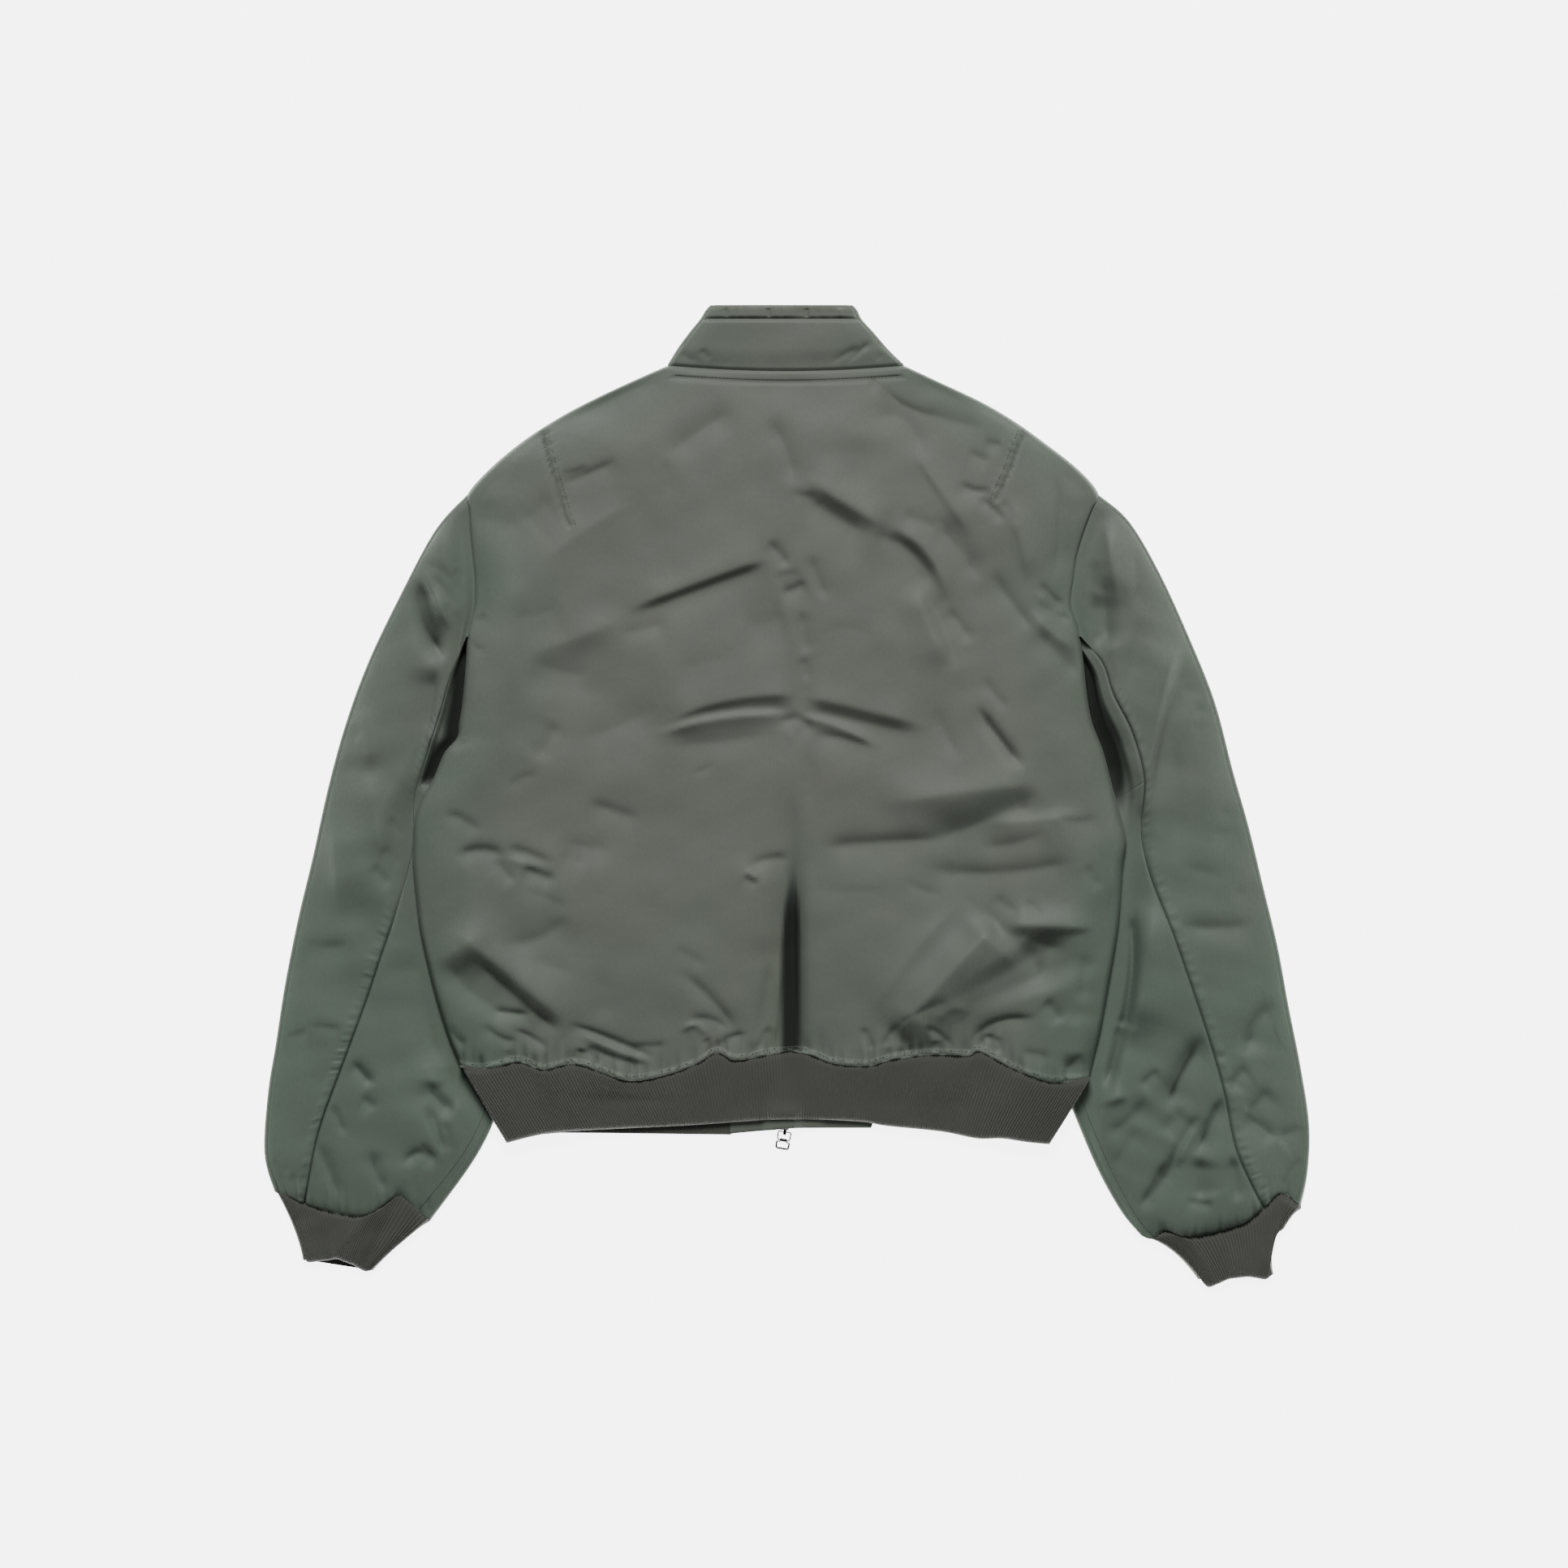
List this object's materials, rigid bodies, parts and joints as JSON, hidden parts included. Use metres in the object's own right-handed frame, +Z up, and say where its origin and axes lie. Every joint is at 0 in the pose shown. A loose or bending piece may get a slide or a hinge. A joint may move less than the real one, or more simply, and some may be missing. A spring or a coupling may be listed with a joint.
{
  "type": "bomber jacket",
  "caption": "Padded nylon bomber jacket with rib-knit cuffs and hem and a stand collar, laid flat with its back up and its sleeves down beside the body; the zip's pull swings.",
  "frame": {"origin": "On the surface that the jacket lies on, under the middle of its bounding box.", "axes": "+X is the wearer's right, across the jacket from the left sleeve to the right one; +Y runs up the back to the collar; +Z is up from the surface, out of the back."},
  "size_m": [0.926, 0.8704, 0.0244],
  "materials": {
    "nylon": "satin nylon twill, grey-green with a greener sheen at an angle",
    "rib_knit": "matt ribbed knit",
    "zip_tape": "matt woven tape",
    "dark_metal": "dark gunmetal, semi-gloss"
  },
  "bodies": {
    "garment": {"back": "nylon", "front_left": "nylon", "front_right": "nylon", "placket_left": "nylon", "placket_right": "nylon", "sleeve_top_left": "nylon", "sleeve_top_right": "nylon", "sleeve_under_left": "nylon", "sleeve_under_right": "nylon", "gusset_left": "nylon", "gusset_right": "nylon", "collar": "nylon", "hem_back": "rib_knit", "hem_front_left": "rib_knit", "hem_front_right": "rib_knit", "cuff_left": "rib_knit", "cuff_right": "rib_knit", "zip_tape": "zip_tape", "zip_slider": "dark_metal"},
    "bail": {"pull_bail": "dark_metal"},
    "ring": {"pull_ring": "dark_metal"}
  },
  "joints": [
    {"name": "bail_swing", "type": "hinge", "parent": "garment", "child": "bail", "pos_m": [-0.00189, -0.29766, 0.0017], "axis": [-0.9848, 0.1736, 0], "range_deg": [0, 75]},
    {"name": "ring_swing", "type": "hinge", "parent": "bail", "child": "ring", "pos_m": [-0.00318, -0.30494, 0.0015], "axis": [-0.9848, 0.1736, 0], "range_deg": [0, 90]}
  ]
}
